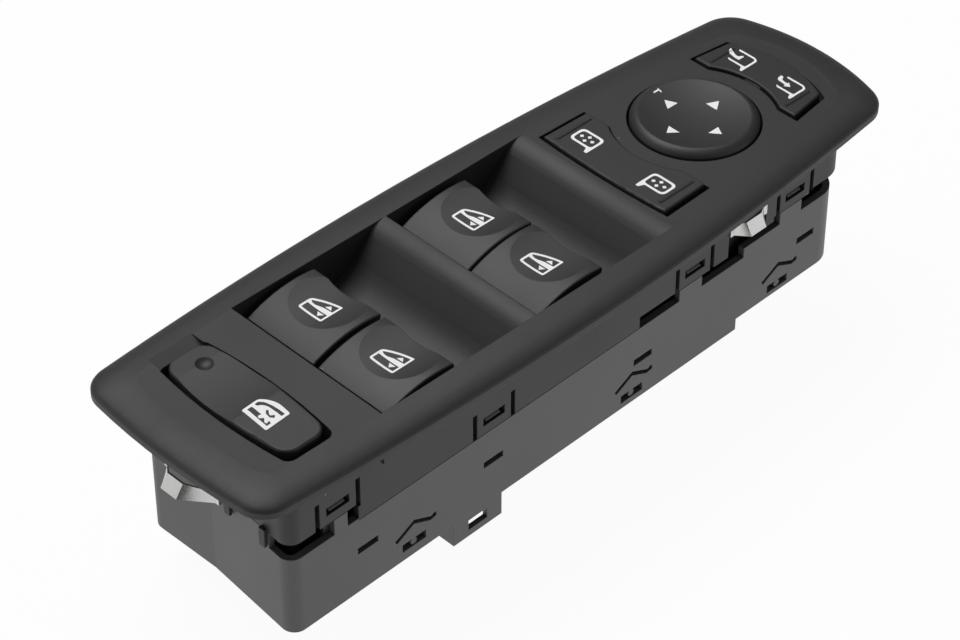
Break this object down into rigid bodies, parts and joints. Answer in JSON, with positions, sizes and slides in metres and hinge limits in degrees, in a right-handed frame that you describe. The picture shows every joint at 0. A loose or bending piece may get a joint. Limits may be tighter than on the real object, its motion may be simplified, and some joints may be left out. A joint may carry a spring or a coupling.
{
  "type": "power window switch",
  "caption": "Driver's door switch panel: window rockers in finger wells, a window lock button, and mirror select, adjust and fold controls on a clip-in housing.",
  "frame": {"origin": "middle of the bezel's length and width, in the plane where its flange seats on the door panel", "axes": "+X along the panel towards the mirror controls, +Y across it, +Z out of the door panel"},
  "size_m": [0.2118, 0.066, 0.0609],
  "materials": {
    "bezel_plastic": "fine grain",
    "housing_plastic": "satin",
    "button_plastic": "smooth",
    "pad_plastic": "smooth",
    "carrier_plastic": "satin",
    "plunger_plastic": "smooth",
    "board_laminate": "solder resist",
    "mat_rubber": "matt",
    "chip_resin": "matt",
    "lamp_body": "clear cap",
    "light_guide_resin": "polished",
    "spring_steel": "bright",
    "axle_steel": "ground",
    "screw_steel": "zinc",
    "pin_metal": "tinned",
    "header_plastic": "smooth"
  },
  "bodies": {
    "panel": {"bezel": "bezel_plastic", "housing": "housing_plastic", "base_cover": "housing_plastic", "plunger_carrier": "carrier_plastic", "circuit_board": "board_laminate", "contact_mat": "mat_rubber", "control_chip": "chip_resin", "indicator_lamp": "lamp_body", "light_guide": "light_guide_resin", "connector_header": "header_plastic", "connector_pins": "pin_metal", "carrier_screws": "screw_steel", "end_spring_clip": "spring_steel", "near_spring_clip": "spring_steel", "far_spring_clip": "spring_steel", "rear_rocker_axle": "axle_steel", "front_rocker_axle": "axle_steel"},
    "rear_left_window_rocker": {"rear_left_window_rocker": "button_plastic"},
    "rear_right_window_rocker": {"rear_right_window_rocker": "button_plastic"},
    "front_left_window_rocker": {"front_left_window_rocker": "button_plastic"},
    "front_right_window_rocker": {"front_right_window_rocker": "button_plastic"},
    "lock_button": {"lock_button": "button_plastic"},
    "pad_gimbal": {"pad_gimbal": "carrier_plastic"},
    "mirror_pad": {"mirror_pad": "pad_plastic", "pad_dish": "pad_plastic"},
    "mirror_select_rocker": {"mirror_select_rocker": "button_plastic"},
    "mirror_fold_rocker": {"mirror_fold_rocker": "button_plastic"},
    "rear_left_close_plunger": {"rear_left_close_plunger": "plunger_plastic"},
    "rear_left_open_plunger": {"rear_left_open_plunger": "plunger_plastic"},
    "rear_right_close_plunger": {"rear_right_close_plunger": "plunger_plastic"},
    "rear_right_open_plunger": {"rear_right_open_plunger": "plunger_plastic"},
    "front_left_close_plunger": {"front_left_close_plunger": "plunger_plastic"},
    "front_left_open_plunger": {"front_left_open_plunger": "plunger_plastic"},
    "front_right_close_plunger": {"front_right_close_plunger": "plunger_plastic"},
    "front_right_open_plunger": {"front_right_open_plunger": "plunger_plastic"},
    "pad_up_plunger": {"pad_up_plunger": "plunger_plastic"},
    "pad_down_plunger": {"pad_down_plunger": "plunger_plastic"},
    "pad_left_plunger": {"pad_left_plunger": "plunger_plastic"},
    "pad_right_plunger": {"pad_right_plunger": "plunger_plastic"},
    "select_left_plunger": {"select_left_plunger": "plunger_plastic"},
    "select_right_plunger": {"select_right_plunger": "plunger_plastic"},
    "fold_in_plunger": {"fold_in_plunger": "plunger_plastic"},
    "fold_out_plunger": {"fold_out_plunger": "plunger_plastic"}
  },
  "joints": [
    {"name": "rear_left_window_rocker_tilt", "type": "hinge", "parent": "panel", "child": "rear_left_window_rocker", "pos_m": [-0.0517, 0.0116, -0.004], "axis": [0, 1, 0], "range_deg": [-5, 5], "stiffness_Nm_per_rad": 0.35},
    {"name": "rear_right_window_rocker_tilt", "type": "hinge", "parent": "panel", "child": "rear_right_window_rocker", "pos_m": [-0.0517, -0.0116, -0.004], "axis": [0, 1, 0], "range_deg": [-5, 5], "stiffness_Nm_per_rad": 0.35},
    {"name": "front_left_window_rocker_tilt", "type": "hinge", "parent": "panel", "child": "front_left_window_rocker", "pos_m": [-0.0044, 0.0112, -0.004], "axis": [0, 1, 0], "range_deg": [-5, 5], "stiffness_Nm_per_rad": 0.35},
    {"name": "front_right_window_rocker_tilt", "type": "hinge", "parent": "panel", "child": "front_right_window_rocker", "pos_m": [-0.0044, -0.0112, -0.004], "axis": [0, 1, 0], "range_deg": [-5, 5], "stiffness_Nm_per_rad": 0.35},
    {"name": "lock_button_press", "type": "slide", "parent": "panel", "child": "lock_button", "axis": [0, 0, -1], "range_m": [0, 0.0016], "stiffness_N_per_m": 2500},
    {"name": "pad_gimbal_tilt", "type": "hinge", "parent": "panel", "child": "pad_gimbal", "pos_m": [0.06065, 0, 0.0003], "axis": [1, 0, 0], "range_deg": [-3, 3], "stiffness_Nm_per_rad": 0.4},
    {"name": "mirror_pad_tilt", "type": "hinge", "parent": "pad_gimbal", "child": "mirror_pad", "pos_m": [0.06065, 0, 0.0003], "axis": [0, 1, 0], "range_deg": [-3, 3], "stiffness_Nm_per_rad": 0.4},
    {"name": "mirror_select_rocker_tilt", "type": "hinge", "parent": "panel", "child": "mirror_select_rocker", "pos_m": [0.0352, 0, 0.0009], "axis": [1, 0, 0], "range_deg": [-3, 3], "stiffness_Nm_per_rad": 0.4},
    {"name": "mirror_fold_rocker_tilt", "type": "hinge", "parent": "panel", "child": "mirror_fold_rocker", "pos_m": [0.08485, 0, 0.0009], "axis": [1, 0, 0], "range_deg": [-3, 3], "stiffness_Nm_per_rad": 0.4},
    {"name": "rear_left_close_plunger_slide", "type": "slide", "parent": "panel", "child": "rear_left_close_plunger", "axis": [0, 0, 1], "range_m": [-0.0006, 0.0006]},
    {"name": "rear_left_open_plunger_slide", "type": "slide", "parent": "panel", "child": "rear_left_open_plunger", "axis": [0, 0, 1], "range_m": [-0.0006, 0.0006]},
    {"name": "rear_right_close_plunger_slide", "type": "slide", "parent": "panel", "child": "rear_right_close_plunger", "axis": [0, 0, 1], "range_m": [-0.0006, 0.0006]},
    {"name": "rear_right_open_plunger_slide", "type": "slide", "parent": "panel", "child": "rear_right_open_plunger", "axis": [0, 0, 1], "range_m": [-0.0006, 0.0006]},
    {"name": "front_left_close_plunger_slide", "type": "slide", "parent": "panel", "child": "front_left_close_plunger", "axis": [0, 0, 1], "range_m": [-0.0006, 0.0006]},
    {"name": "front_left_open_plunger_slide", "type": "slide", "parent": "panel", "child": "front_left_open_plunger", "axis": [0, 0, 1], "range_m": [-0.0006, 0.0006]},
    {"name": "front_right_close_plunger_slide", "type": "slide", "parent": "panel", "child": "front_right_close_plunger", "axis": [0, 0, 1], "range_m": [-0.0006, 0.0006]},
    {"name": "front_right_open_plunger_slide", "type": "slide", "parent": "panel", "child": "front_right_open_plunger", "axis": [0, 0, 1], "range_m": [-0.0006, 0.0006]},
    {"name": "pad_up_plunger_slide", "type": "slide", "parent": "panel", "child": "pad_up_plunger", "axis": [0, 0, 1], "range_m": [-0.0007, 0.0007]},
    {"name": "pad_down_plunger_slide", "type": "slide", "parent": "panel", "child": "pad_down_plunger", "axis": [0, 0, 1], "range_m": [-0.0007, 0.0007]},
    {"name": "pad_left_plunger_slide", "type": "slide", "parent": "panel", "child": "pad_left_plunger", "axis": [0, 0, 1], "range_m": [-0.0007, 0.0007]},
    {"name": "pad_right_plunger_slide", "type": "slide", "parent": "panel", "child": "pad_right_plunger", "axis": [0, 0, 1], "range_m": [-0.0007, 0.0007]},
    {"name": "select_left_plunger_slide", "type": "slide", "parent": "panel", "child": "select_left_plunger", "axis": [0, 0, 1], "range_m": [-0.0007, 0.0007]},
    {"name": "select_right_plunger_slide", "type": "slide", "parent": "panel", "child": "select_right_plunger", "axis": [0, 0, 1], "range_m": [-0.0007, 0.0007]},
    {"name": "fold_in_plunger_slide", "type": "slide", "parent": "panel", "child": "fold_in_plunger", "axis": [0, 0, 1], "range_m": [-0.0007, 0.0007]},
    {"name": "fold_out_plunger_slide", "type": "slide", "parent": "panel", "child": "fold_out_plunger", "axis": [0, 0, 1], "range_m": [-0.0007, 0.0007]}
  ],
  "couplings": [
    {"joint": "rear_left_close_plunger_slide", "follows": "rear_left_window_rocker_tilt", "m_per_rad": 0.0062},
    {"joint": "rear_left_open_plunger_slide", "follows": "rear_left_window_rocker_tilt", "m_per_rad": -0.0062},
    {"joint": "rear_right_close_plunger_slide", "follows": "rear_right_window_rocker_tilt", "m_per_rad": 0.0062},
    {"joint": "rear_right_open_plunger_slide", "follows": "rear_right_window_rocker_tilt", "m_per_rad": -0.0062},
    {"joint": "front_left_close_plunger_slide", "follows": "front_left_window_rocker_tilt", "m_per_rad": 0.0062},
    {"joint": "front_left_open_plunger_slide", "follows": "front_left_window_rocker_tilt", "m_per_rad": -0.0062},
    {"joint": "front_right_close_plunger_slide", "follows": "front_right_window_rocker_tilt", "m_per_rad": 0.0062},
    {"joint": "front_right_open_plunger_slide", "follows": "front_right_window_rocker_tilt", "m_per_rad": -0.0062},
    {"joint": "pad_up_plunger_slide", "follows": "mirror_pad_tilt", "m_per_rad": -0.0123},
    {"joint": "pad_down_plunger_slide", "follows": "mirror_pad_tilt", "m_per_rad": 0.0123},
    {"joint": "pad_left_plunger_slide", "follows": "pad_gimbal_tilt", "m_per_rad": 0.0123},
    {"joint": "pad_right_plunger_slide", "follows": "pad_gimbal_tilt", "m_per_rad": -0.0123},
    {"joint": "select_left_plunger_slide", "follows": "mirror_select_rocker_tilt", "m_per_rad": 0.012},
    {"joint": "select_right_plunger_slide", "follows": "mirror_select_rocker_tilt", "m_per_rad": -0.012},
    {"joint": "fold_in_plunger_slide", "follows": "mirror_fold_rocker_tilt", "m_per_rad": 0.0125},
    {"joint": "fold_out_plunger_slide", "follows": "mirror_fold_rocker_tilt", "m_per_rad": -0.0125}
  ]
}
